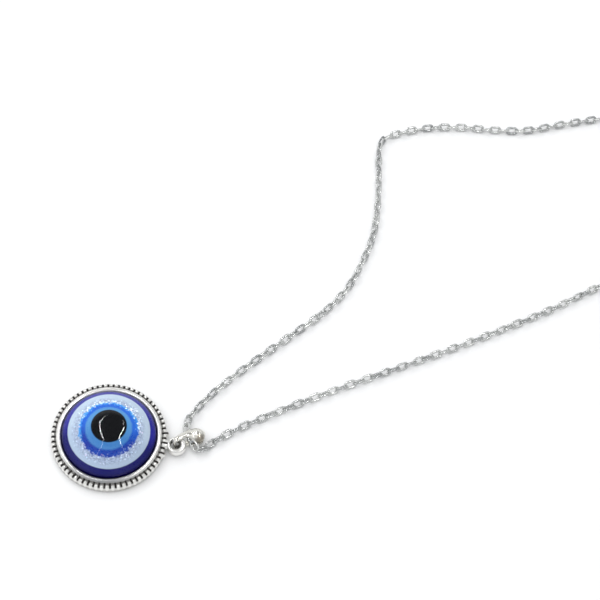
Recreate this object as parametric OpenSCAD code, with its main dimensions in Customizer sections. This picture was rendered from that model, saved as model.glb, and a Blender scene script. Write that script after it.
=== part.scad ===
/* [Eye] */
// Width of the domed eye across its flat back
eye_d = 20; // [19.6:0.1:20.4]
// Height of the eye's crown above the setting's lip
crown_h = 4.6; // [4.2:0.1:5]
// Width of the black pupil
pupil_d = 7.1; // [6:0.1:8]
// Width of the light blue ring round the pupil
light_d = 9.4; // [8.8:0.1:10.4]
// Width of the saturated blue ring
blue_d = 12; // [11:0.1:13]
// Width of the white ring
white_d = 17.2; // [15:0.1:18]

/* [Setting] */
// Height of the setting's lip above its flat back
lip_h = 2.8; // [2.6:0.1:3]
// Thickness of the setting's back plate
back_t = 0.8; // [0.6:0.1:1]
// Number of ribs round the border
rib_count = 64; // [48:1:72]
// Width of the hole in the cast loop
loop_hole_d = 2.1; // [1.9:0.1:2.3]

/* [Bail] */
// Direction in which the bail points, from the loop's own direction
bail_angle = 36; // [34:1:38]
// Width of the bail's round end
bail_w = 3.6; // [3:0.1:3.6]
// Thickness of the folded strip
strip_t = 0.4; // [0.3:0.05:0.45]

/* [Chain] */
// Width of the fine chain over its links
chain_d = 1.8; // [1.6:0.1:1.8]
// Number of links in the extender
extender_links = 16; // [12:1:16]

/* [Hidden] */
$fn = 96;
fit_gap = 0.05;
eye_r = eye_d / 2 - 0.1;
lip_w = 1.15;
lip_r = eye_r + fit_gap + lip_w;
rib_r = 0.52;
rib_ring_r = lip_r + 0.6;
rib_top = lip_h - 0.5;
border_r = rib_ring_r + rib_r;
glue_t = 0.1;

// The eye's layers all end on one domed surface under the clear coat
coat_t = 0.25;
edge_rise = 0.3;
crown_rise = crown_h - edge_rise;
dome_r = (eye_r * eye_r + crown_rise * crown_rise) / (2 * crown_rise);
dome_z = lip_h + crown_h - dome_r;
paint_r = dome_r - coat_t;
drop_t = 0.8;
function drop_floor(r) = dome_z + sqrt(paint_r * paint_r - r * r) - drop_t;

// The loop stands on +X, clear of the ribs, with its hole upright
loop_x = border_r + 2.13;
loop_z = 1.6;
loop_h = 1.9;
loop_wall = 0.95;

// The bail lies along its own U axis from the loop's hole, and the chain crosses it
bail_len = 6.9;
bail_foot = 0.5;
bail_neck_w = 1;
bail_neck_h = 2.9;
bail_end_h = 3.16;
chain_u = 3.4;

// Route of the chain on the table: X, Y and height of its centre, from the extender
// round to the coil; it lies as wide as the table allows and crosses the bail once
lie_z = 0.9;
ROUTE = [[111, 109, lie_z], [105, 106.4, lie_z], [96, 102.9, lie_z], [87, 99.2, lie_z],
         [79, 97.7, lie_z], [70, 96.8, lie_z], [62, 95, lie_z], [55, 92, lie_z],
         [51.4, 89.4, lie_z], [50.6, 86, lie_z], [51.1, 79, lie_z], [51.6, 70, lie_z],
         [51.3, 61, lie_z], [49.2, 52.4, lie_z], [46.2, 44.6, lie_z], [41.4, 37.6, lie_z],
         [34.4, 30, lie_z], [27, 22, lie_z], [20.8, 14.8, lie_z], [17.3, 9.6, lie_z],
         [15.9, 6.6, 1.1], [15.9, 4, 1.6], [17.1, 2, 1.6], [18.15, 0.55, 1.55],
         [19.1, 0.1, 1.25], [20.3, 0.75, 0.95], [22.3, 2.8, lie_z],
         [27, 6.6, lie_z], [35, 12, lie_z], [46, 18.8, lie_z], [58, 25.8, lie_z],
         [70, 32.8, lie_z], [82, 40.2, lie_z], [94, 48, lie_z], [103, 54.6, lie_z],
         [108.5, 58.5, lie_z], [113, 61.6, lie_z]];
chain_shift = [loop_x - 14.35, 0, 0];
layer_rise = 1.85;
coil_c = [119.9, 51.7];
coil_r = 12;
coil_in_r = 9.8;
TAIL = [[131.9, 51.7, lie_z + layer_rise], [131.9, 48.5, 2.5], [131.9, 45.5, 1.9],
        [131.9, 42.8, 1.2], [131.9, 40.2, lie_z], [131.9, 37.8, lie_z]];

// Clasp, its ring and the extender
wire_d = 0.6;
ring_r = 1.9;
clasp_ring_at = [131.9, 35.5, ring_r + wire_d / 2];
clasp_eye_at = [131.9, 33.96, 0];
clasp_t = 2.4;
pivot = [5, 1.1];
rivet_r = 0.35;
rivet_gap = 0.05;
lever_z = 0.7;
lever_t = 0.65;
extender_turn = -60;
link_len = 3.8;
link_w = 3;
link_pitch = 2.5;
link_z = (link_w - wire_d) / 2 * sin(45) + wire_d / 2;
extender_ring_at = [112.7, 109.9, link_z];
link_play = 0.2;
first_link_at = ring_r + link_len / 2 - 3 * wire_d / 2 - link_play;
last_link_at = first_link_at + (extender_links - 1) * link_pitch;

// Swept tube: a smooth curve through the route with one ring of points at each step
function slope(p, i) = i == 0 ? (p[1] - p[0]) / norm(p[1] - p[0])
    : i == len(p) - 1 ? (p[i] - p[i - 1]) / norm(p[i] - p[i - 1])
    : (p[i + 1] - p[i - 1]) / (norm(p[i + 1] - p[i]) + norm(p[i] - p[i - 1]));
function curve(p, i, t) = let (a = p[i], b = p[i + 1], d = norm(b - a))
    (2 * t * t * t - 3 * t * t + 1) * a + (t * t * t - 2 * t * t + t) * d * slope(p, i)
    + (3 * t * t - 2 * t * t * t) * b + (t * t * t - t * t) * d * slope(p, i + 1);
function smooth(p, steps) = [for (i = [0 : len(p) - 2]) for (s = [0 : steps - 1]) curve(p, i, s / steps),
                             p[len(p) - 1]];
function across(v) = let (s = cross(v, [0, 0, 1])) s / norm(s);
function tube_ring(p, i, r, sides) = let (v = slope(p, i), s = across(v), u = cross(s, v) / norm(v))
    [for (k = [0 : sides - 1]) p[i] + r * (cos(360 * k / sides + 22.5) * s + sin(360 * k / sides + 22.5) * u)];

module tube(route, d, steps) {
    sides = 8;
    p = smooth(route, steps);
    n = len(p);
    points = [for (i = [0 : n - 1]) each tube_ring(p, i, d / 2, sides)];
    walls = [for (i = [0 : n - 2]) for (k = [0 : sides - 1])
        let (a = i * sides + k, b = i * sides + (k + 1) % sides) each [[a, b, b + sides], [a, b + sides, a + sides]]];
    start = [[for (k = [0 : sides - 1]) sides - 1 - k]];
    end = [[for (k = [0 : sides - 1]) (n - 1) * sides + k]];
    polyhedron(points = points, faces = concat(walls, start, end));
}

// Closed ring of round wire, lying flat
module wire_ring(r, d) {
    rotate_extrude($fn = 48)
        translate([r, 0])
            circle(d = d, $fn = 32);
}

// Oval link of round wire, lying flat along +X with its middle at the origin
module oval_link(length, width, d) {
    end_r = (width - d) / 2;
    half = (length - width) / 2;
    for (side = [-1, 1]) {
        translate([side * half, 0, 0])
            rotate([0, 0, side * 90 - 180])
                rotate_extrude(angle = 180, $fn = 48)
                    translate([end_r, 0])
                        circle(d = d, $fn = 24);
        translate([-half, side * end_r, 0])
            rotate([0, 90, 0])
                cylinder(d = d, h = 2 * half, $fn = 24);
    }
}

// One colour layer of the eye: a drop set into the one below, with a recess for the next
module drop(r_out, r_in) {
    difference() {
        intersection() {
            translate([0, 0, dome_z])
                sphere(r = paint_r);
            translate([0, 0, drop_floor(r_out)])
                cylinder(r = r_out, h = dome_r);
        }
        if (r_in > 0)
            translate([0, 0, drop_floor(r_in)])
                cylinder(r = r_in, h = dome_r);
    }
}

module cast_loop() {
    mid_r = loop_hole_d / 2 + loop_wall / 2;
    straight = loop_h - loop_wall;
    rotate_extrude()
        translate([mid_r, 0]) {
            square([loop_wall, straight], center = true);
            for (side = [-1, 1])
                translate([0, side * straight / 2])
                    circle(d = loop_wall);
        }
}

// Tray of the setting: back plate, wall and rounded lip, turned as one
module tray() {
    rotate_extrude() {
        square([lip_r - lip_w / 2, back_t]);
        translate([lip_r - lip_w, 0])
            square([lip_w, lip_h - lip_w / 2]);
        translate([lip_r - lip_w / 2, lip_h - lip_w / 2])
            circle(d = lip_w);
    }
}

module setting() {
    web_len = loop_x - loop_hole_d / 2 - 0.4 - rib_ring_r;
    color([0.72, 0.72, 0.70])
    difference() {
        union() {
            tray();
            difference() {
                union() {
                    cylinder(r = rib_ring_r, h = 0.3);
                    translate([0, 0, 0.15])
                        cylinder(r = rib_ring_r - 0.1, h = rib_top - 0.35);
                }
                translate([0, 0, -1])
                    cylinder(r = lip_r - 0.3, h = 2 * lip_h);
            }
            for (i = [0 : rib_count - 1])
                rotate([0, 0, (i + 0.5) * 360 / rib_count])
                    translate([rib_ring_r, 0, 0.15])
                        cylinder(r = rib_r, h = rib_top - 0.15, $fn = 16);
            translate([rib_ring_r - 0.2, -1.1, loop_z - 0.7])
                cube([web_len + 0.2, 2.2, 1.4]);
            translate([loop_x, 0, loop_z])
                cast_loop();
        }
        translate([loop_x, 0, 0])
            cylinder(d = loop_hole_d, h = 2 * lip_h);
    }
}

module adhesive() {
    color([0.85, 0.83, 0.72])
    translate([0, 0, back_t])
        cylinder(r = eye_r - 0.2, h = glue_t);
}

module eye_base() {
    color([0.09, 0.09, 0.45])
    difference() {
        intersection() {
            translate([0, 0, dome_z])
                sphere(r = paint_r);
            translate([0, 0, back_t + glue_t])
                cylinder(r = eye_r, h = dome_r);
        }
        translate([0, 0, drop_floor(white_d / 2)])
            cylinder(d = white_d, h = dome_r);
    }
}

module white_ring() {
    color([0.82, 0.86, 0.95])
    drop(white_d / 2, blue_d / 2);
}

module blue_ring() {
    color([0.10, 0.33, 0.82])
    drop(blue_d / 2, light_d / 2);
}

module light_blue_ring() {
    color([0.40, 0.66, 0.90])
    drop(light_d / 2, pupil_d / 2);
}

module pupil() {
    color([0.03, 0.03, 0.04])
    drop(pupil_d / 2, 0);
}

module clear_coat() {
    color([0.85, 0.92, 1.0, 0.35])
    difference() {
        intersection() {
            translate([0, 0, dome_z])
                sphere(r = dome_r);
            translate([0, 0, back_t + glue_t])
                cylinder(r = eye_r, h = dome_r);
        }
        translate([0, 0, dome_z])
            sphere(r = paint_r);
        translate([0, 0, back_t])
            cylinder(r = eye_r + 1, h = glue_t + 0.2);
    }
}

// Side outline of the folded strip, in the bail's length and height
module bail_outline(inset) {
    end_r = bail_end_h / 2 - inset;
    neck = bail_neck_h / 2 - inset;
    end_u = bail_len - bail_foot - bail_end_h / 2;
    polygon([[-bail_foot + inset, -neck], [end_u, -end_r], [end_u, end_r], [-bail_foot + inset, neck]]);
    translate([end_u, 0])
        circle(r = end_r);
}

module bail() {
    end_u = bail_len - bail_foot - bail_w / 2;
    color([0.80, 0.80, 0.78])
    translate([loop_x, 0, loop_z])
        rotate([0, 0, bail_angle])
            intersection() {
                rotate([90, 0, 0])
                    translate([0, 0, -bail_w])
                        linear_extrude(2 * bail_w)
                            difference() {
                                bail_outline(0);
                                bail_outline(strip_t);
                            }
                translate([0, 0, -bail_end_h])
                    linear_extrude(2 * bail_end_h)
                        union() {
                            translate([-bail_foot - 0.1, -bail_neck_w / 2])
                                square([2.2, bail_neck_w]);
                            polygon([[1.2, -bail_neck_w / 2], [end_u - 0.5, -bail_w / 2 + 0.08],
                                     [end_u - 0.5, bail_w / 2 - 0.08], [1.2, bail_neck_w / 2]]);
                            translate([end_u, 0])
                                circle(d = bail_w);
                        }
            }
}

module chain_run() {
    color([0.78, 0.79, 0.80])
    translate(chain_shift)
        tube(ROUTE, chain_d, 2);
}

module chain_coil() {
    half_w = chain_d / 2;
    color([0.78, 0.79, 0.80])
    translate(chain_shift + [coil_c[0], coil_c[1], lie_z])
        rotate_extrude() {
            for (r = [coil_in_r, coil_r])
                for (z = [0, layer_rise])
                    translate([r, z])
                        circle(r = half_w);
            translate([coil_in_r - half_w, 0])
                square([coil_r - coil_in_r + 2 * half_w, layer_rise]);
            translate([coil_in_r, -half_w])
                square([coil_r - coil_in_r, layer_rise + 2 * half_w]);
        }
}

module chain_tail() {
    color([0.78, 0.79, 0.80])
    translate(chain_shift)
        tube(TAIL, chain_d, 1);
}

module clasp_ring() {
    color([0.80, 0.80, 0.78])
    translate(chain_shift + clasp_ring_at)
        rotate([0, 90, 0])
            wire_ring(ring_r, wire_d);
}

// The clasp lies along -Y from its eye, which the ring passes through
module at_clasp() {
    translate(chain_shift + clasp_eye_at)
        rotate([0, 0, -90])
            children();
}

module clasp_body() {
    hook_at = 8.2;
    color([0.80, 0.80, 0.78])
    at_clasp()
        difference() {
            union() {
                translate([0, 0, 0.8])
                    cylinder(r = 1.8, h = 0.8);
                linear_extrude(clasp_t)
                    union() {
                        polygon([[2.1, -0.9], [3.4, -1.8], [6.4, -2.3], [6.4, 2.3], [3.4, 1.8], [2.1, 0.9]]);
                        translate([hook_at, 0])
                            circle(r = 3);
                    }
                translate([1, -0.7, 0.8])
                    cube([2, 1.4, 0.8]);
            }
            translate([0, 0, -1])
                cylinder(r = 1, h = 4);
            translate([hook_at, 0, -1])
                cylinder(r = 1.9, h = 4);
            translate([hook_at, 0, -1])
                linear_extrude(4)
                    polygon([[0, 0], [3.5, 3.5], [-2.6, 3.5], [-2.05, 1.9]]);
            translate([3.6, -0.1, 0.65])
                cube([3.2, 4, clasp_t - 1.25]);
            translate([pivot[0], pivot[1], -1])
                cylinder(r = rivet_r, h = 4);
        }
}

module clasp_lever() {
    color([0.83, 0.83, 0.81])
    at_clasp()
        translate([0, 0, lever_z])
            difference() {
                linear_extrude(lever_t)
                    union() {
                        translate(pivot)
                            circle(r = 0.85);
                        polygon([[5, 0.4], [5.9, 0.9], [7, 1.65], [8.2, 1.9], [9.2, 1.8], [9.2, 2.5],
                                 [8.2, 2.8], [6.9, 2.75], [5.4, 2.3], [4.5, 3.4], [3.9, 3.2], [4.3, 1.6]]);
                    }
                translate([pivot[0], pivot[1], -1])
                    cylinder(r = rivet_r + rivet_gap, h = 4);
            }
}

module clasp_rivet() {
    color([0.72, 0.72, 0.70])
    at_clasp()
        translate([pivot[0], pivot[1], 0.05])
            cylinder(r = rivet_r, h = clasp_t - 0.1);
}

module clasp_spring() {
    spring_d = 0.28;
    spring_z = lever_z + lever_t + 0.08 + spring_d / 2;
    color([0.60, 0.61, 0.63])
    at_clasp()
        translate([pivot[0], pivot[1], spring_z]) {
            wire_ring(0.6, spring_d);
            translate([0, -0.6, 0])
                rotate([90, 0, 0])
                    cylinder(d = 0.8 * spring_d, h = 0.55);
        }
}

// The extender leaves its ring along its own +X
module at_extender(u) {
    translate(chain_shift + extender_ring_at)
        rotate([0, 0, extender_turn])
            translate([u, 0, 0])
                children();
}

module extender_ring() {
    color([0.80, 0.80, 0.78])
    at_extender(0)
        translate([0, 0, ring_r * sin(45) + wire_d / 2 - link_z])
            rotate([45, 0, 0])
                wire_ring(ring_r, wire_d);
}

module extender_chain() {
    color([0.80, 0.80, 0.78])
    for (i = [0 : extender_links - 1])
        at_extender(first_link_at + i * link_pitch)
            rotate([90 * (i % 2) - 45, 0, 0])
                oval_link(link_len, link_w, wire_d);
}

module end_tag() {
    tag_t = 0.8;
    tag_hole_r = 1;
    hole_to_drop = 4.4;
    drop_r = 2.4;
    color([0.80, 0.80, 0.78])
    at_extender(last_link_at + link_len / 2 - wire_d / 2 + 0.1)
        translate([0, 0, -tag_t / 2])
            difference() {
                linear_extrude(tag_t)
                    union() {
                        circle(r = 1.8);
                        polygon([[0.2, -1.78], [hole_to_drop - 0.6, -2.32], [hole_to_drop - 0.6, 2.32], [0.2, 1.78]]);
                        translate([hole_to_drop, 0])
                            circle(r = drop_r);
                    }
                translate([0, 0, -1])
                    cylinder(r = tag_hole_r, h = 3);
            }
}

setting();
adhesive();
eye_base();
white_ring();
blue_ring();
light_blue_ring();
pupil();
clear_coat();
bail();
chain_run();
chain_coil();
chain_tail();
clasp_ring();
clasp_body();
clasp_lever();
clasp_rivet();
clasp_spring();
extender_ring();
extender_chain();
end_tag();
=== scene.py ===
import math

import bmesh
import bpy
from mathutils import Matrix, Vector


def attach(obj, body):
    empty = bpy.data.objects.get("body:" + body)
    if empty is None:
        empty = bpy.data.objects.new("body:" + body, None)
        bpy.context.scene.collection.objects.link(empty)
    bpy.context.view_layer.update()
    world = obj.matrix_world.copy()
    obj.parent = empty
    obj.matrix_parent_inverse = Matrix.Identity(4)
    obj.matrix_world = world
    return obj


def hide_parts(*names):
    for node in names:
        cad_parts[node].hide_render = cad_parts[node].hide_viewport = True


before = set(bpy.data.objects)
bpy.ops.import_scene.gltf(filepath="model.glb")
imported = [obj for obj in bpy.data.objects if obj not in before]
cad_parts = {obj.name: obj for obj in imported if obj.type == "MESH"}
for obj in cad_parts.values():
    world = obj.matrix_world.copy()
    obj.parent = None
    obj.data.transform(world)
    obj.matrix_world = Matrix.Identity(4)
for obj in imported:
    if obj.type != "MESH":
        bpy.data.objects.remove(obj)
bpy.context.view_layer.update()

# ---------------------------------------------------------------------------
# The view: a small camera held above the near side of the pendant, looking down
# at the eye and along the two strands of chain.
camera = bpy.data.objects.new("camera", bpy.data.cameras.new("camera"))
bpy.context.collection.objects.link(camera)
camera.data.lens, camera.data.sensor_width = 84.0, 36.0
camera.data.clip_start, camera.data.clip_end = 0.01, 20.0
look, side = Vector((0.0322, 0.5115, -0.8587)), Vector((0.9881, 0.1129, 0.1043))
rise = Vector((-0.1503, 0.8518, 0.5018))
turn = Matrix((side, rise, -look)).transposed().to_quaternion().to_matrix().to_4x4()
camera.matrix_world = Matrix.Translation((0.02598, -0.12222, 0.27408)) @ turn
bpy.context.scene.camera = camera
bpy.context.scene.view_settings.view_transform = "Standard"


# ---------------------------------------------------------------------------
# The chain: fine cable chain, 45 cm of oval wire links plated silver, each link
# turned a quarter from the last. It runs through the bail and lies on the table,
# and what is left over is wound in a round coil beside it.
class Flow:
    """One value, colour or vector on its way through a tree of nodes."""

    def __init__(self, board, socket):
        self.board, self.socket = board, socket

    def math(self, operation, a, b=0.0):
        return self.board.node("ShaderNodeMath", {"operation": operation}, {0: a, 1: b})

    def __add__(self, other):
        return self.math("ADD", self, other)

    def __sub__(self, other):
        return self.math("SUBTRACT", self, other)

    def __rsub__(self, other):
        return self.math("SUBTRACT", other, self)

    def __mul__(self, other):
        return self.math("MULTIPLY", self, other)

    def __truediv__(self, other):
        return self.math("DIVIDE", self, other)

    def __pow__(self, other):
        return self.math("POWER", self, other)

    def __neg__(self):
        return self.math("MULTIPLY", self, -1.0)

    def __abs__(self):
        return self.math("ABSOLUTE", self)

    __radd__, __rmul__ = __add__, __mul__

    def cos(self):
        return self.math("COSINE", self)

    def least(self, other):
        return self.math("MINIMUM", self, other)

    def most(self, other):
        return self.math("MAXIMUM", self, other)

    def between(self, low, high):
        """0 below low, 1 above high, and a smooth climb from one to the other."""
        flip = low > high
        low, high = min(low, high), max(low, high)
        climb = self.board.node("ShaderNodeMapRange", {"interpolation_type": "SMOOTHSTEP"},
                                {0: self, 1: low, 2: high})
        return 1 - climb if flip else climb


class Board:
    """A tree of nodes, which node() adds to."""

    def __init__(self, tree):
        self.tree = tree

    def node(self, kind, settings=(), sockets=(), out=0):
        made = self.tree.nodes.new(kind)
        for key, value in dict(settings).items():
            setattr(made, key, value)
        for key, value in dict(sockets).items():
            if isinstance(value, Flow):
                self.tree.links.new(value.socket, made.inputs[key])
            else:
                made.inputs[key].default_value = value
        return Flow(self, made.outputs[out])


class Finish(Board):
    """A material whose Principled shader takes plain values by name and changing ones through drive()."""

    def __init__(self, name, **plain):
        self.material = bpy.data.materials.new(name)
        self.material.use_nodes = True
        super().__init__(self.material.node_tree)
        self.shader = self.tree.nodes["Principled BSDF"]
        for socket, value in plain.items():
            self.shader.inputs[socket].default_value = value
        self.place = self.node("ShaderNodeTexCoord", out=3)

    def drive(self, **flows):
        for socket, flow in flows.items():
            self.tree.links.new(flow.socket, self.shader.inputs[socket.replace("_", " ")])

    def axis(self, which):
        return self.node("ShaderNodeSeparateXYZ", (), {0: self.place}, out="XYZ".index(which))

    def cloud(self, scale, detail=2.0, rough=0.5):
        return self.node("ShaderNodeTexNoise", (),
                         {"Vector": self.place, "Scale": scale, "Detail": detail, "Roughness": rough})

    def blend(self, share, first, second):
        return self.node("ShaderNodeMix", {"data_type": "RGBA"}, {0: share, 6: first, 7: second}, out=2)

    def dent(self, height, strength, distance):
        return self.node("ShaderNodeBump", (), {"Height": height, "Strength": strength, "Distance": distance})


def tone(red, green, blue):
    """A colour given as it looks, out of 255, as the shader wants it."""
    return (*[(v / 255 / 12.92 if v < 10.3 else ((v / 255 + 0.055) / 1.055) ** 2.4) for v in (red, green, blue)], 1.0)


def put(name, mesh, *materials):
    """A new object for a mesh, with its materials."""
    piece = bpy.data.objects.new(name, mesh)
    bpy.context.collection.objects.link(piece)
    for material in materials:
        mesh.materials.append(material)
    return piece


def grown(name, board, seed_mesh, **sizes):
    """The plain mesh that a tree of geometry nodes grows from a starting mesh."""
    host = put(name + "_host", seed_mesh)
    step = host.modifiers.new("grow", "NODES")
    step.node_group = board.tree
    for item in board.tree.interface.items_tree:
        if item.in_out == "INPUT" and item.name in sizes:
            step[item.identifier] = sizes[item.name]
    view = bpy.context.evaluated_depsgraph_get()
    mesh = bpy.data.meshes.new_from_object(host.evaluated_get(view), preserve_all_data_layers=True, depsgraph=view)
    mesh.name = name
    bpy.data.objects.remove(host)
    return put(name, mesh)


class Growth(Board):
    """A tree of geometry nodes with a geometry input and named inputs for sizes."""

    def __init__(self, name, **inputs):
        super().__init__(bpy.data.node_groups.new(name, "GeometryNodeTree"))
        face = self.tree.interface
        face.new_socket("Geometry", in_out="INPUT", socket_type="NodeSocketGeometry")
        face.new_socket("Geometry", in_out="OUTPUT", socket_type="NodeSocketGeometry")
        for key, value in inputs.items():
            kind = "NodeSocketInt" if isinstance(value, int) else "NodeSocketFloat"
            face.new_socket(key, in_out="INPUT", socket_type=kind).default_value = value
        self.way_in = self.tree.nodes.new("NodeGroupInput")
        self.start = self.given("Geometry")

    def given(self, key):
        return Flow(self, self.way_in.outputs[key])

    def finish(self, geometry, material):
        real = self.node("GeometryNodeRealizeInstances", (), {0: geometry})
        painted = self.node("GeometryNodeSetMaterial", (), {"Geometry": real, "Material": material})
        way_out = self.tree.nodes.new("NodeGroupOutput")
        self.tree.links.new(painted.socket, way_out.inputs[0])


chain_d, link_pitch = 0.0018, 0.002137
strand = [(111, 109, 0.9), (105, 106.4, 0.9), (96, 102.9, 0.9), (87, 99.2, 0.9), (79, 97.7, 0.9), (70, 96.8, 0.9),
          (62, 95, 0.9), (55, 92, 0.9), (51.4, 89.4, 0.9), (50.6, 86, 0.9), (51.1, 79, 0.9), (51.6, 70, 0.9),
          (51.3, 61, 0.9), (49.2, 52.4, 0.9), (46.2, 44.6, 0.9), (41.4, 37.6, 0.9), (34.4, 30, 0.9), (27, 22, 0.9),
          (20.8, 14.8, 0.9), (17.3, 9.6, 0.9), (15.9, 6.6, 1.1), (15.9, 4, 1.6), (17.1, 2, 1.6), (18.15, 0.55, 1.55),
          (19.1, 0.1, 1.25), (20.3, 0.75, 0.95), (22.3, 2.8, 0.9), (27, 6.6, 0.9), (35, 12, 0.9),
          (46, 18.8, 0.9), (58, 25.8, 0.9), (70, 32.8, 0.9), (82, 40.2, 0.9), (94, 48, 0.9), (103, 54.6, 0.9),
          (108.5, 58.5, 0.9), (113, 61.6, 0.9)]
tail = [(131.9, 51.7, 2.75), (131.9, 48.5, 2.5), (131.9, 45.5, 1.9), (131.9, 42.8, 1.2), (131.9, 40.2, 0.9),
        (131.9, 37.8, 0.9)]
coil_at, coil_out, coil_in, coil_top = (119.9, 51.7), 12.0, 9.8, 2.75


def smoothed(points, steps):
    """A curve through the points, with its direction at each one taken from its two neighbours."""
    points = [Vector(p) / 1000 for p in points]
    last = len(points) - 1
    slopes = []
    for i in range(last + 1):
        a, b = points[max(i - 1, 0)], points[min(i + 1, last)]
        run = (points[i] - a).length + (b - points[i]).length
        slopes.append((b - a) / run)
    line = []
    for i in range(last):
        a, b = points[i], points[i + 1]
        run = (b - a).length
        for k in range(steps):
            t = k / steps
            line.append((2 * t**3 - 3 * t**2 + 1) * a + (t**3 - 2 * t**2 + t) * run * slopes[i]
                        + (3 * t**2 - 2 * t**3) * b + (t**3 - t**2) * run * slopes[i + 1])
    return line + [points[last]]


def wound(start_angle, turned_by, count):
    """The coil: inwards on the table for half of its turns, then up and outwards on top of them."""
    line = []
    for i in range(1, count):
        t = i / count
        spot = math.radians(start_angle - turned_by * t)
        r = coil_out - (coil_out - coil_in) * (1 - abs(2 * t - 1))
        up = min(max((t - 0.46) / 0.08, 0), 1)
        z = 0.9 + (coil_top - 0.9) * up * up * (3 - 2 * up)
        line.append(Vector((coil_at[0] + r * math.cos(spot), coil_at[1] + r * math.sin(spot), z)) / 1000)
    return line


chain_line = smoothed(strand, 6) + wound(125, 845, 120) + smoothed(tail, 4)
chain_long = sum((b - a).length for a, b in zip(chain_line, chain_line[1:]))

chain_silver = Finish("chain_silver", Metallic=0.85, Roughness=0.24)
# Each link's colour runs from dark to light by its random tone and its painted shade.
link_tone_and_painted_shade = chain_silver.node("ShaderNodeAttribute", {"attribute_name": "tone_and_painted_shade"}, out=2)
chain_film = chain_silver.cloud(900.0, 3.0)
chain_silver.drive(Base_Color=chain_silver.blend(link_tone_and_painted_shade * 0.7 + chain_film * 0.3,
                                                 tone(158, 160, 161), tone(234, 235, 232)),
                   Roughness=chain_film * 0.22 + 0.16)
chain_silver.drive(Normal=chain_silver.dent(chain_silver.cloud(2600.0, 3.0), 0.25, 0.00003))

links = Growth("cable_links", Count=200, Length=0.00314, Width=0.00198, Wire=0.0006, Flat=0.76, Jitter=0.22)
half_link = (links.given("Length") - links.given("Width")) * 0.5
bend = links.node("GeometryNodeCurvePrimitiveCircle", {"mode": "RADIUS"},
                  {"Resolution": 14, "Radius": (links.given("Width") - links.given("Wire")) * 0.5})
where = links.node("GeometryNodeInputPosition")
across = links.node("ShaderNodeSeparateXYZ", (), {0: where})
end_side = links.node("ShaderNodeMath", {"operation": "SIGN"}, {0: across})
stretch = links.node("ShaderNodeCombineXYZ", (), {0: end_side * half_link})
oval = links.node("GeometryNodeSetPosition", (), {"Geometry": bend, "Offset": stretch})
round_wire = links.node("GeometryNodeCurvePrimitiveCircle", {"mode": "RADIUS"},
                        {"Resolution": 6, "Radius": links.given("Wire") * 0.5})
link = links.node("GeometryNodeCurveToMesh", (), {"Curve": oval, "Profile Curve": round_wire})
filed = links.node("ShaderNodeCombineXYZ", (), {0: 1.0, 1: 1.0, 2: links.given("Flat")})
link = links.node("GeometryNodeTransform", (), {"Geometry": link, "Scale": filed})
link = links.node("GeometryNodeSetShadeSmooth", (), {"Geometry": link, "Shade Smooth": True})
thread = links.node("GeometryNodeMeshToCurve", (), {"Mesh": links.start})
spots = links.node("GeometryNodeCurveToPoints", {"mode": "COUNT"},
                   {"Curve": thread, "Count": links.given("Count")}, out="Points")
spot_way = Flow(links, spots.socket.node.outputs["Tangent"])
order = links.node("GeometryNodeInputIndex")
quarter = links.node("ShaderNodeMath", {"operation": "MODULO"}, {0: order, 1: 2.0}) * (math.pi / 2) - math.pi / 4
stray = links.node("FunctionNodeRandomValue", {"data_type": "FLOAT"},
                   {2: -1.0, 3: 1.0, "ID": order, "Seed": 5}, out=1) * links.given("Jitter")
along = links.node("FunctionNodeAlignRotationToVector", {"axis": "X"}, {"Factor": 1.0, "Vector": spot_way})
level = links.node("FunctionNodeAlignRotationToVector", {"axis": "Z", "pivot_axis": "X"},
                   {"Rotation": along, "Factor": 1.0, "Vector": (0.0, 0.0, 1.0)})
roll = links.node("FunctionNodeAxisAngleToRotation", (), {"Axis": (1.0, 0.0, 0.0), "Angle": quarter + stray})
rolled = links.node("FunctionNodeRotateRotation", {"rotation_space": "LOCAL"}, {0: level, 1: roll})
strung = links.node("GeometryNodeInstanceOnPoints", (), {"Points": spots, "Instance": link, "Rotation": rolled})
# Each link gets a random tone. The links of one quarter turn are painted darker than the others, as painted shade.
chance = links.node("FunctionNodeRandomValue", {"data_type": "FLOAT"}, {"ID": order, "Seed": 9}, out=1)
strung = links.node("GeometryNodeStoreNamedAttribute", {"data_type": "FLOAT", "domain": "INSTANCE"},
                    {"Geometry": strung, "Name": "tone_and_painted_shade", "Value": chance * 0.7 + quarter * 0.19 + 0.15})
links.finish(strung, chain_silver.material)

thread_mesh = bpy.data.meshes.new("thread")
thread_mesh.from_pydata([tuple(p) for p in chain_line], [(i, i + 1) for i in range(len(chain_line) - 1)], [])
chain = grown("chain", links, thread_mesh, Count=round(chain_long / link_pitch) + 1)
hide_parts("chain_run", "chain_coil", "chain_tail")
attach(chain, "chain")

# ---------------------------------------------------------------------------
# The table and the light: a pale matt sheet under a white tent, with a large soft
# lamp overhead, a little to the left, and two broken rows of thin tubes, each row
# bowed outwards over the pendant.
sheet_paint = Finish("pale_sheet", Roughness=0.9)
sheet_paint.drive(Base_Color=sheet_paint.blend(sheet_paint.cloud(6.0), (0.86, 0.86, 0.865, 1), (0.88, 0.88, 0.88, 1)))
sheet_mesh = bpy.data.meshes.new("table_top")
table_half = 3
sheet_mesh.from_pydata([(-table_half, -table_half, 0), (table_half, -table_half, 0),
                        (table_half, table_half, 0), (-table_half, table_half, 0)], [], [(0, 1, 2, 3)])
table_top = put("table_top", sheet_mesh, sheet_paint.material)

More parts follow.
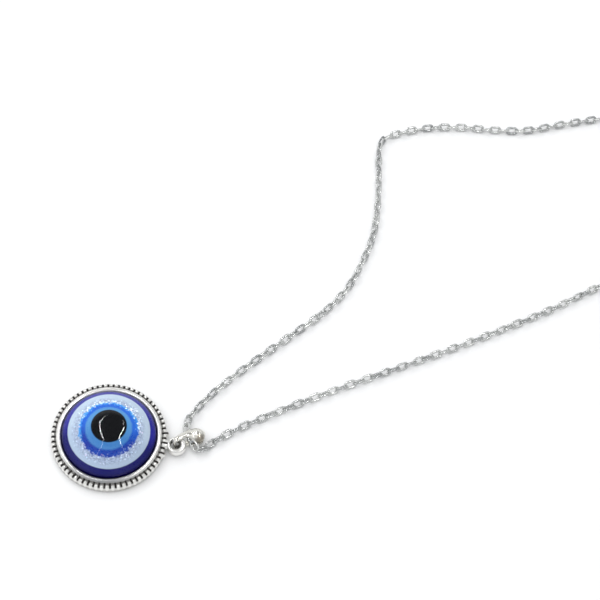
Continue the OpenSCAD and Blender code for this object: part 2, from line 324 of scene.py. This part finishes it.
tent = bpy.data.worlds.new("tent")
tent.use_nodes = True
bpy.context.scene.world = tent
cloth = Board(tent.node_tree)
toward = cloth.node("ShaderNodeTexCoord", out=0)
east, north, up = [cloth.node("ShaderNodeSeparateXYZ", (), {0: toward}, out=i) for i in range(3)]
off_centre = (east * east + (north - up * 0.4) * (north - up * 0.4)) / (up * up).most(0.01)
hole = off_centre.between(0.85, 0.3)
near_dark = (-north).between(0.25, 0.85) * (1 - abs(east)) * 0.5
skirt = up.between(0.42, 0.12)
dim_side = east.between(0.35, 0.9) * 0.45
bright = (1 - hole * 0.72) * (1 - skirt * 0.3) * (1 - dim_side) * (1 - near_dark) * 1.04
backing = tent.node_tree.nodes["Background"]
tent.node_tree.links.new(bright.socket, backing.inputs["Strength"])
backing.inputs["Color"].default_value = (0.97, 0.985, 1.0, 1)


def lamp(name, at, aim, size, watts, glossy=True):
    """A rectangular soft lamp at a place, facing another."""
    lit = bpy.data.lights.new(name, "AREA")
    lit.shape, lit.size, lit.size_y, lit.energy = "RECTANGLE", size[0], size[1], watts
    holder = bpy.data.objects.new(name, lit)
    bpy.context.collection.objects.link(holder)
    holder.location = at
    holder.rotation_euler = (Vector(aim) - Vector(at)).to_track_quat("-Z", "Y").to_euler()
    holder.visible_camera = False
    holder.visible_glossy = glossy
    return holder


tube_height, tube_wide = 0.6, 0.018


def tube_light(name, a, b, glow):
    """A thin strip lamp overhead between two places, given as shares of its height."""
    a, b = Vector((a[0], a[1], 1)) * tube_height, Vector((b[0], b[1], 1)) * tube_height
    long = (b - a).length
    strip = lamp(name, (a + b) / 2, (0, 0, 0), (tube_wide, long), glow * tube_wide * long * math.pi)
    down = -((a + b) / 2).normalized()
    run = (b - a).normalized()
    run = (run - down * run.dot(down)).normalized()
    strip.visible_diffuse = False
    strip.matrix_world = Matrix.Translation((a + b) / 2) @ Matrix((run.cross(-down), run, -down)).transposed().to_4x4()


lamp("key", (-0.3, 0.25, 1.5), (0.03, 0.03, 0), (2.2, 2.2), 23.0, glossy=False)
left_bow = [(-0.24, 0.93), (-0.36, 0.78), (-0.41, 0.55), (-0.38, 0.33), (-0.29, 0.12), (-0.15, -0.07),
            (-0.19, -0.3), (-0.37, -0.73)]
right_bow = [(0.33, 0.78), (0.39, 0.6), (0.40, 0.45), (0.36, 0.28), (0.30, 0.05), (0.42, -0.12), (0.82, -0.55)]
bow_glow = (5, 34, 36, 44, 38, 5, 3)
bright_glow, broken, whole_run = 9, ((0.08, 0.46), (0.58, 0.94)), ((0, 1),)
for name, bow in (("left_tube", left_bow), ("right_tube", right_bow)):
    for i, (a, b, glow) in enumerate(zip(bow, bow[1:], bow_glow)):
        for start, stop in broken if glow > bright_glow else whole_run:
            ends = [tuple(a[k] + (b[k] - a[k]) * share for k in (0, 1)) for share in (start, stop)]
            tube_light(f"{name}_{i}_{start}", *ends, glow)


# ---------------------------------------------------------------------------
# The setting: one silver-tone casting with a flat back, a shallow cup for the eye,
# a smooth rounded lip, a border of upright ribs and a thick eyelet at its side.
# It is blackened, then polished, so the black stays in the hollows. The foot of the ribbed border, the eyelet's bore
# and the gaps between the ribs are darkened further as painted shade, and the near side of the lip is greyed as a
# painted dark reflection.
mm = 0.001


def turned(name, outline, material, centre=(0.0, 0.0), steps=144, sharp=35):
    """A closed solid turned about an upright axis from an outline of radius and height, bottom to top on the
    outside: an object if it is given a material, and otherwise a mesh."""
    spots, rings = [], []
    for r, z in outline:
        if r < 1e-6:
            rings.append([len(spots)])
            spots.append((centre[0] * mm, centre[1] * mm, z * mm))
        else:
            rings.append(list(range(len(spots), len(spots) + steps)))
            spots += [((centre[0] + r * math.cos(2 * math.pi * k / steps)) * mm,
                       (centre[1] + r * math.sin(2 * math.pi * k / steps)) * mm, z * mm) for k in range(steps)]
    pairs = list(zip(rings, rings[1:]))
    if len(rings[0]) > 1:
        pairs.append((rings[-1], rings[0]))
    faces = []
    for low, high in pairs:
        for k in range(steps):
            n = (k + 1) % steps
            if len(low) == 1 and len(high) == 1:
                break
            if len(low) == 1:
                faces.append((low[0], high[n], high[k]))
            elif len(high) == 1:
                faces.append((low[k], low[n], high[0]))
            else:
                faces.append((low[k], low[n], high[n], high[k]))
    mesh = bpy.data.meshes.new(name)
    mesh.from_pydata(spots, [], faces)
    mesh.shade_smooth()
    mesh.set_sharp_from_angle(angle=math.radians(sharp))
    return put(name, mesh, material) if material else mesh


def arc(r, z, radius, start, end, count):
    """Points of an arc in an outline, with angles in degrees from straight outwards."""
    spots = [math.radians(start + (end - start) * i / count) for i in range(count + 1)]
    return [(r + radius * math.cos(a), z + radius * math.sin(a)) for a in spots]


lip_at, lip_z, lip_round = 10.525, 2.225, 0.575
rib_count, rib_at, rib_mid = 64, 11.7, 1.33
eyelet = (14.35, 0.0)

antique = Finish("antique_silver")
spot_x, spot_y, spot_z = antique.axis("X"), antique.axis("Y"), antique.axis("Z")
far_out = (spot_x * spot_x + spot_y * spot_y) ** 0.5 * 1000
way_round = antique.node("ShaderNodeMath", {"operation": "ARCTAN2"}, {0: spot_y, 1: spot_x})
flute = (way_round * rib_count).cos()
valley = flute.between(0.05, 0.65)
in_border = far_out.between(10.98, 11.12) * far_out.between(12.6, 12.3)
groove = (far_out.between(10.98, 11.12) * far_out.between(11.55, 11.3)
          * spot_z.between(0.0026, 0.0022) * (0.6 + valley * 0.4))
# Patina between the ribs, deepened towards their tops by painted shade.
gap_shade = valley * in_border * (spot_z.between(0.00165, 0.00195) * 0.8 + 0.2) * spot_z.between(0.0002, 0.0006)
from_eyelet = (((spot_x - (eyelet[0] - 0.25) * mm) ** 2 + spot_y ** 2) ** 0.5) * 1000
# Painted shade inside the eyelet's bore.
bore_shade = from_eyelet.between(1.32, 1.14) * spot_z.between(0.0026, 0.0018)
grime = antique.cloud(1500.0, 4.0, 0.6)
# Painted shade on the lower part of the ribbed border.
foot_shade = in_border * spot_z.between(0.0016, 0.0002) * 0.46
# Patina in the groove and gaps, painted shade at the foot, bore and gaps, and random grime, all mixed towards black
# below.
patina_and_painted_shade = groove.most(gap_shade).most(foot_shade).most(bore_shade * 0.85) + (grime - 0.5) * 0.35 * in_border
patina_and_painted_shade = patina_and_painted_shade.least(1.0).most(0.0)
polish = antique.cloud(300.0, 2.0)
silver_tone = antique.blend(polish, tone(234, 233, 229), tone(248, 247, 244))
# A painted dark reflection greys the lip on the near side.
near_lip_painted_reflection = far_out.between(11.2, 11.0) * spot_y.between(-0.006, -0.0105) * (0.5 + polish * 0.3)
silver_tone = antique.blend(near_lip_painted_reflection, silver_tone, tone(128, 130, 136))
antique.drive(Base_Color=antique.blend(patina_and_painted_shade, silver_tone, tone(38, 33, 32)),
              Metallic=1 - patina_and_painted_shade * 0.55,
              Roughness=polish * 0.12 + 0.24 + patina_and_painted_shade * 0.36,
              Normal=antique.dent(antique.cloud(1700.0, 3.0, 0.5), 0.16, 0.00004))


def skin(name, rings, round_trip=False, caps=True):
    """A mesh over rings of points; the rings close on themselves, and the last joins the first in a round trip."""
    width = len(rings[0])
    spots = [tuple(p) for ring in rings for p in ring]
    faces = []
    for i in range(len(rings) - (0 if round_trip else 1)):
        a, b = i * width, (i + 1) % len(rings) * width
        for k in range(width):
            n = (k + 1) % width
            faces.append((a + k, a + n, b + n, b + k))
    if caps and not round_trip:
        faces.append(tuple(reversed(range(width))))
        faces.append(tuple(range((len(rings) - 1) * width, len(rings) * width)))
    mesh = bpy.data.meshes.new(name)
    mesh.from_pydata(spots, [], faces)
    return mesh


def joined(name, meshes):
    """One mesh out of several, with all faces turned outwards."""
    whole = bmesh.new()
    for mesh in meshes:
        whole.from_mesh(mesh)
    bmesh.ops.recalc_face_normals(whole, faces=whole.faces)
    mesh = bpy.data.meshes.new(name)
    whole.to_mesh(mesh)
    whole.free()
    mesh.shade_smooth()
    return mesh


tray_line = ([(0, 0), (11.5, 0), (11.95, 0.05), (12.1, 0.18), (12.14, 0.36), (12.1, 0.6), (12.08, 1.3), (12.09, 1.74),
              (12.05, 1.88), (11.9, 1.94), (11.4, 1.97), (11.18, 1.98), (11.1, 2.1)]
             + arc(lip_at, lip_z, lip_round, 0, 180, 14) + [(9.95, 1.6), (9.95, 0.85), (9.9, 0.8), (0, 0.8)])
tray = turned("tray", tray_line, None, steps=192)
eyelet_line = [(1.54 + 0.52 * math.copysign(abs(math.cos(a)) ** 0.7, math.cos(a)),
                1.58 + 0.95 * math.copysign(abs(math.sin(a)) ** 0.85, math.sin(a)))
               for a in [2 * math.pi * i / 24 - math.pi / 2 for i in range(24)]]
eyelet_ring = turned("eyelet", eyelet_line, None, centre=eyelet, steps=56)
bore_shift, eyelet_outer, eyelet_wall = 0.3, 2.06, 1.04
for corner in eyelet_ring.vertices:
    outward = math.hypot(corner.co.x - eyelet[0] * mm, corner.co.y) / mm
    corner.co.x -= bore_shift * mm * min(max((eyelet_outer - outward) / eyelet_wall, 0), 1)
neck_rings = []
for x, half_w, half_h in ((11.3, 1.5, 1.0), (11.8, 1.15, 0.86), (12.3, 0.95, 0.76), (12.8, 0.9, 0.7), (13.1, 0.8, 0.6)):
    neck_rings.append([(x * mm, half_w * math.cos(a) * mm, (1.5 + half_h * math.sin(a)) * mm)
                       for a in [2 * math.pi * i / 20 for i in range(20)]])
neck = skin("neck", neck_rings)
beads, bead_at = [], 11.95
for turn_by in (-11.4, 11.4):
    at = (bead_at * math.cos(math.radians(turn_by)), bead_at * math.sin(math.radians(turn_by)))
    beads.append(turned("bead", [(0, 0.85)] + arc(0, 1.55, 0.68, -75, 75, 10) + [(0, 2.26)], None, centre=at, steps=20))

ribs = Growth("ribbed_border", Ribs=rib_count, Ring=rib_at * mm, Depth=0.00056, Breadth=0.00053,
              Cap=0.00066, Straight=0.00036, Middle=rib_mid * mm)
ball = ribs.node("GeometryNodeMeshUVSphere", (), {"Segments": 12, "Rings": 9, "Radius": 1.0})
ball_spot = ribs.node("GeometryNodeInputPosition")
ball_xyz = [ribs.node("ShaderNodeSeparateXYZ", (), {0: ball_spot}, out=i) for i in range(3)]
ball_up = ribs.node("ShaderNodeMath", {"operation": "SIGN"}, {0: ball_xyz[2]})
shaped = ribs.node("ShaderNodeCombineXYZ", (),
                   {0: ball_xyz[0] * ribs.given("Depth"), 1: ball_xyz[1] * ribs.given("Breadth"),
                    2: ball_xyz[2] * ribs.given("Cap") + ball_up * ribs.given("Straight")})
rib = ribs.node("GeometryNodeSetPosition", (), {"Geometry": ball, "Position": shaped})
rib = ribs.node("GeometryNodeSetShadeSmooth", (), {"Geometry": rib, "Shade Smooth": True})
hoop = ribs.node("GeometryNodeMeshCircle", (), {"Vertices": ribs.given("Ribs"), "Radius": ribs.given("Ring")})
rib_order = ribs.node("GeometryNodeInputIndex")
rib_turn = ribs.node("ShaderNodeCombineXYZ", (), {2: (rib_order + 0.5) * (2 * math.pi) / ribs.given("Ribs")})
rib_first = ribs.node("ShaderNodeCombineXYZ", (), {0: ribs.given("Ring"), 2: ribs.given("Middle")})
rib_spot = ribs.node("ShaderNodeVectorRotate", {"rotation_type": "EULER_XYZ"},
                     {"Vector": rib_first, "Rotation": rib_turn})
hoop = ribs.node("GeometryNodeSetPosition", (), {"Geometry": hoop, "Position": rib_spot})
border = ribs.node("GeometryNodeInstanceOnPoints", (), {"Points": hoop, "Instance": rib, "Rotation": rib_turn})
both = ribs.tree.nodes.new("GeometryNodeJoinGeometry")
for part in (border, ribs.start):
    ribs.tree.links.new(part.socket, both.inputs[0])
ribs.finish(Flow(ribs, both.outputs[0]), antique.material)
casting = grown("setting_casting", ribs, joined("casting", [tray, eyelet_ring, neck] + beads))
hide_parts("setting")
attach(casting, "pendant")

# ---------------------------------------------------------------------------
# The glue: a thin film of clear jewellery glue that holds the eye down in its cup.
# It is squeezed out a little unevenly and has set slightly yellow.
set_glue = Finish("set_glue", Roughness=0.35)
set_glue.drive(Base_Color=set_glue.blend(set_glue.cloud(700.0), tone(206, 200, 170), tone(228, 224, 204)))
glue = turned("glue_film", [(0, 0.81), (9.6, 0.81), (9.7, 0.85), (9.6, 0.89), (0, 0.89)], set_glue.material, steps=64)
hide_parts("adhesive")
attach(glue, "pendant")

# ---------------------------------------------------------------------------
# The eye: a domed 20 mm resin stone poured in coloured layers, each set into the one
# below, navy, glittery white, blue, light blue and black, all ending on one dome.
# Fine glitter lies in the white and along the ragged edge of the blue.
dome_z, paint_r, coat_r = -6.1519, 13.3019, 13.5519
eye_r, white_r, blue_r, light_r, pupil_r = 9.9, 8.6, 6.1, 4.75, 3.72


def on_dome(r, dome=paint_r):
    return dome_z + math.sqrt(dome * dome - r * r)


pour_deep, layer_gap = 0.7, 0.004


def eye_layer(name, outer, inner, finish):
    """One poured layer between two radii, with its top on the dome and its foot a little down."""
    foot = on_dome(outer) - pour_deep
    crown = [outer + (inner - outer) * i / 16 for i in range(17)]
    outline = [(0, foot), (outer, foot)] if not inner else [(inner, foot), (outer, foot)]
    outline += [(r, on_dome(r)) for r in crown]
    return turned(name, outline, finish.material, steps=160)


def eye_finish(name):
    """The colours of the eye over its whole face, so that glitter and ragged edges run on from layer to layer, with
    painted shade on the near side and along the navy's outer edge, and painted glints on the glitter.
    """
    coat = Finish(name, **{"Roughness": 0.42, "Specular IOR Level": 0.0})
    x, y = coat.axis("X") * 1000, coat.axis("Y") * 1000
    out = (x * x + y * y) ** 0.5
    around = coat.node("ShaderNodeMath", {"operation": "ARCTAN2"}, {0: y, 1: x})
    mottle = coat.cloud(1100.0, 3.0, 0.6)
    grain = coat.cloud(3600.0, 2.0, 0.7)
    broad = coat.cloud(170.0, 2.0)
    flake = coat.node("ShaderNodeTexVoronoi", {"feature": "F1"}, {"Vector": coat.place, "Scale": 3300.0}, out=1)
    flake_red, flake_green, flake_blue = [coat.node("ShaderNodeSeparateColor", (), {0: flake}, out=i) for i in range(3)]
    off_y = y + 0.4
    shifted = (x * x + off_y * off_y) ** 0.5
    ragged = shifted + (mottle - 0.5) * 1.4 + (grain - 0.5) * 0.7 - 0.25
    near_side = y.between(1.0, -3.5)
    far_side = y.between(-1.0, 3.0)

    # The navy, the white, the blue and the light blue are each painted darker on the near side, as painted shade.
    navy = coat.blend(broad, tone(30, 28, 132), tone(42, 42, 164))
    navy = coat.blend(near_side, navy, tone(13, 14, 100))
    # Painted shade along the navy's outer edge, under the lip.
    navy = coat.blend(out.between(9.35, 9.95), navy, tone(14, 11, 66))
    pearl = coat.blend(mottle, tone(180, 198, 218), tone(195, 212, 229))
    pearl = coat.blend(near_side * 0.6, pearl, tone(162, 182, 208))
    dusty = coat.blend(grain.between(0.38, 0.62), tone(134, 148, 178), tone(178, 194, 222))
    dust_zone = ragged.between(7.6, 6.5)
    white = coat.blend(dust_zone * 0.85, pearl, dusty)
    # Glitter flakes, shown more on the far side where they catch the light: real glitter with painted glints.
    sparkle = flake_red.between(0.83, 0.9) * (0.35 + far_side * 0.65)
    tint = coat.blend(flake_green, tone(190, 235, 255), tone(255, 250, 252))
    tint = coat.blend(flake_blue.between(0.86, 0.9), tint, tone(245, 200, 225))
    white = coat.blend(sparkle * dust_zone, white, tint)
    # Painted glints along the blue's ragged edge on the far side.
    rim_glint = flake_blue.between(0.7, 0.8) * ragged.between(5.7, 6.1) * ragged.between(7.0, 6.4) * far_side
    white = coat.blend(flake_green.between(0.9, 0.95) * dust_zone * near_side * 0.4, white, tone(105, 110, 140))

    deep_blue = coat.blend(near_side, tone(26, 98, 208), tone(2, 40, 150))
    deep_blue = coat.blend((mottle - 0.35) * 0.8, deep_blue, tone(44, 118, 222))
    cyan_rim = ragged.between(5.2, 5.9) * far_side.most((y * 0.5 - x).between(2.0, 5.0))
    blue = coat.blend(cyan_rim * 0.75, deep_blue, tone(70, 172, 240))
    blue = coat.blend(sparkle * ragged.between(5.2, 5.8), blue, tint)
    pale = coat.blend(near_side, tone(78, 142, 202), tone(56, 116, 184))
    pale = coat.blend(mottle * 0.35, pale, tone(104, 168, 216))
    black = coat.blend(grain * 0.3, tone(7, 8, 11), tone(18, 20, 26))

    colour = coat.blend((out + (grain - 0.5) * 0.12).between(3.62, 3.84), black, pale)
    colour = coat.blend((shifted + (mottle - 0.5) * 0.5).between(4.55, 5.1), colour, blue)
    colour = coat.blend(ragged.between(5.8, 6.12), colour, white)
    colour = coat.blend((out + (grain - 0.5) * 0.12).between(8.5, 8.68), colour, navy)
    coat.drive(Base_Color=colour, Roughness=mottle * 0.2 + 0.3)
    # Painted glints: the brightest flakes and the blue's rim glow on their own.
    gleam = sparkle * ragged.between(5.4, 5.9) * ragged.between(7.9, 6.9) * flake_blue.between(0.4, 0.6)
    gleam = gleam.most(rim_glint)
    coat.drive(Emission_Color=coat.blend(gleam, (0, 0, 0, 1), tone(225, 240, 255)))
    coat.shader.inputs["Emission Strength"].default_value = 0.5
    coat.drive(Normal=coat.dent(grain * dust_zone, 0.3, 0.00004))
    return coat


eye_parts = (("navy_bowl", "eye_base", "navy_resin", eye_r, white_r),
             ("white_pour", "white_ring", "white_resin", white_r, blue_r),
             ("blue_pour", "blue_ring", "blue_resin", blue_r, light_r),
             ("light_blue_pour", "light_blue_ring", "light_blue_resin", light_r, pupil_r),
             ("black_pupil", "pupil", "black_resin", pupil_r, 0.0))
for name, node, slot, outer, inner in eye_parts:
    finish = eye_finish(name + "_resin")
    if name == "navy_bowl":
        crown = [outer + (inner - outer) * k / 8 for k in range(9)]
        outline = [(0, 0.9), (outer - 0.05, 0.9), (outer, 0.95)] + [(r, on_dome(r)) for r in crown]
        outline += [(inner, on_dome(inner) - 0.75), (0, on_dome(inner) - 0.75)]
        layer = turned(name, outline, finish.material, steps=160)
    else:
        layer = eye_layer(name, outer - layer_gap, inner, finish)
    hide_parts(node)
    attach(layer, "pendant")

# ---------------------------------------------------------------------------
# The clear coat: a thin glossy shell of clear resin over the whole face, flowed
# level by itself, with a rounded edge where it meets the lip.
glass = Finish("clear_resin_coat", Roughness=0.03, Metallic=1.0)
glass.drive(Base_Color=glass.blend(glass.cloud(60.0), (0.97, 0.985, 1.0, 1), (1.0, 1.0, 1.0, 1)))
glass.drive(Normal=glass.dent(glass.cloud(260.0, 1.0) + glass.cloud(2400.0, 1.0) * 0.05, 0.05, 0.00008))
clear = glass.node("ShaderNodeBsdfTransparent")
shine = glass.node("ShaderNodeFresnel", (), {"IOR": 1.47}) * (1 - glass.node("ShaderNodeNewGeometry", out=6)) * 0.8
coated = glass.node("ShaderNodeMixShader", (), {0: shine, 1: clear, 2: Flow(glass, glass.shader.outputs[0])})
glass.tree.links.new(coated.socket, glass.tree.nodes["Material Output"].inputs[0])
under_r, under_dome = 9.86, paint_r + 0.05
under_line = [(under_r * math.sin(a), on_dome(under_r * math.sin(a), under_dome))
              for a in [math.pi / 2 * i / 24 for i in range(1, 25)]]
face_line = [(eye_r * math.cos(a), on_dome(eye_r * math.cos(a), coat_r))
             for a in [math.pi / 2 * i / 40 for i in range(1, 40)]]
coat_line = ([(0.0, on_dome(0, under_dome))] + under_line + [(9.88, 2.6), (eye_r, 2.62)] + face_line
             + [(0.0, on_dome(0, coat_r))])
coat = turned("clear_coat_shell", coat_line, glass.material, steps=160)
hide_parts("clear_coat")
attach(coat, "pendant")

# ---------------------------------------------------------------------------
# The bail: one silver-plated strip, narrow where it hooks through the eyelet and
# domed out into a round shell at the far end, folded back on itself round the chain.
bright = Finish("bright_silver", Metallic=1.0)
rub = bright.cloud(700.0, 3.0)
# A brown painted shade on the lower right of the bail's domed end.
brown_painted_shade_at = (0.01896, 0.00219, 0.0022)
off_x, off_y, off_z = [bright.axis(way) - at for way, at in zip("XYZ", brown_painted_shade_at)]
brown_painted_shade = (off_x * off_x + off_y * off_y + off_z * off_z).between(0.0000019, 0.0000003) * 0.75
plating = bright.blend(rub, tone(212, 210, 203), tone(243, 241, 234))
bright.drive(Base_Color=bright.blend(brown_painted_shade, plating, tone(128, 116, 96)),
             Roughness=rub * 0.18 + 0.17,
             Normal=bright.dent(bright.cloud(1300.0, 3.0), 0.2, 0.00005))

bail_turn = math.radians(36)
bail_end_at, bail_end_r, strip = 5.05, 1.5, 0.36


def bail_path():
    """The folded strip's outside seen from the side, as length and height, out on top and back below,
    with the outward way at each point."""
    top = [(-0.62, 0.5), (-0.62, 1.02), (-0.5, 1.38), (-0.2, 1.6), (0.4, 1.72), (1.1, 1.7), (1.9, 1.55),
           (2.7, 1.36), (3.3, 1.24), (3.7, 1.24)]
    end = [(bail_end_at + bail_end_r * math.cos(a) * 1.14, bail_end_r * math.sin(a))
           for a in [math.radians(124 - 12.4 * i) for i in range(21)]]
    side = top + end + [(u, -z) for u, z in reversed(top)]
    ways = []
    for i, (u, z) in enumerate(side):
        a, b = side[i - 1], side[(i + 1) % len(side)]
        ways.append(Vector((a[1] - b[1], b[0] - a[0])).normalized())
    return side, ways


def bail_width(u):
    grow = min(max((u - 2.75) / 1.35, 0), 1)
    wide = 1.0 + 0.25 * min(max(u, 0), 1) + 2.35 * grow * grow * (3 - 2 * grow)
    if u > bail_end_at:
        wide *= math.sqrt(max(1 - ((u - bail_end_at) / 2.1) ** 2, 0.15))
    return wide


side, ways = bail_path()
bail_rings = []
for (u, z), way in zip(side, ways):
    wide = bail_width(u)
    drift = (0.7 + min(max(u, 0), 2.5) * 0.16) * (1 - min(max((u - 3.1) / 1.4, 0), 1)) * min(max(z / 1.3, 0), 1)
    curl = 0.22 + 1.08 * min(max((u - 2.75) / 1.35, 0), 1)
    ring = []
    for inside in (False, True):
        for k in range(13):
            t = (-1 + 2 * k / 12) * (-1 if inside else 1)
            v = t * wide / 2 * (0.95 if inside else 1.0)
            sink = curl * (1 - math.sqrt(1 - 0.95 * t * t)) + (strip if inside else 0)
            pu, pz = u - way[0] * sink, z - way[1] * sink
            x = eyelet[0] + pu * math.cos(bail_turn) - (v + drift) * math.sin(bail_turn)
            y = eyelet[1] + pu * math.sin(bail_turn) + (v + drift) * math.cos(bail_turn)
            ring.append((x * mm, y * mm, (1.6 + pz) * mm))
    bail_rings.append(ring)
bail = put("folded_bail", joined("folded_bail", [skin("strip", bail_rings, round_trip=True)]), bright.material)
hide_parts("bail")
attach(bail, "bail")

# ---------------------------------------------------------------------------
# The fittings at the chain's ends: jump rings, a cast lobster clasp with a sprung
# lever on a rivet, an extender of larger oval links and a plain drop-shaped tag.
spring_wire = Finish("spring_wire", Metallic=1.0)
spring_wire.drive(Base_Color=spring_wire.blend(spring_wire.cloud(900.0), tone(120, 122, 126), tone(160, 161, 164)),
                  Roughness=spring_wire.cloud(600.0) * 0.2 + 0.25)


def tumbled(node, body):
    """A cast piece with its edges rounded over and its faces left a little uneven, as tumbling with steel shot does."""
    rough = put(node + "_rough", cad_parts[node].data.copy())
    whole = bmesh.new()
    whole.from_mesh(rough.data)
    bmesh.ops.remove_doubles(whole, verts=whole.verts, dist=1e-7)
    whole.to_mesh(rough.data)
    whole.free()
    fine = rough.modifiers.new("fine", "REMESH")
    fine.mode, fine.voxel_size = "VOXEL", 0.00006
    worn = rough.modifiers.new("worn", "SMOOTH")
    worn.factor, worn.iterations = 0.6, 9
    view = bpy.context.evaluated_depsgraph_get()
    mesh = bpy.data.meshes.new_from_object(rough.evaluated_get(view), depsgraph=view)
    bpy.data.objects.remove(rough)
    mesh.materials.clear()
    mesh.shade_smooth()
    piece = put(node + "_cast", mesh, bright.material)
    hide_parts(node)
    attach(piece, body)
    return piece


tag, clasp, lever = tumbled("end_tag", "tag"), tumbled("clasp_body", "clasp"), tumbled("clasp_lever", "lever")
for node, metal in (("clasp_ring", bright), ("clasp_rivet", bright), ("extender_ring", bright),
                    ("extender_chain", bright), ("clasp_spring", spring_wire)):
    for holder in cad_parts[node].material_slots:
        holder.material = metal.material
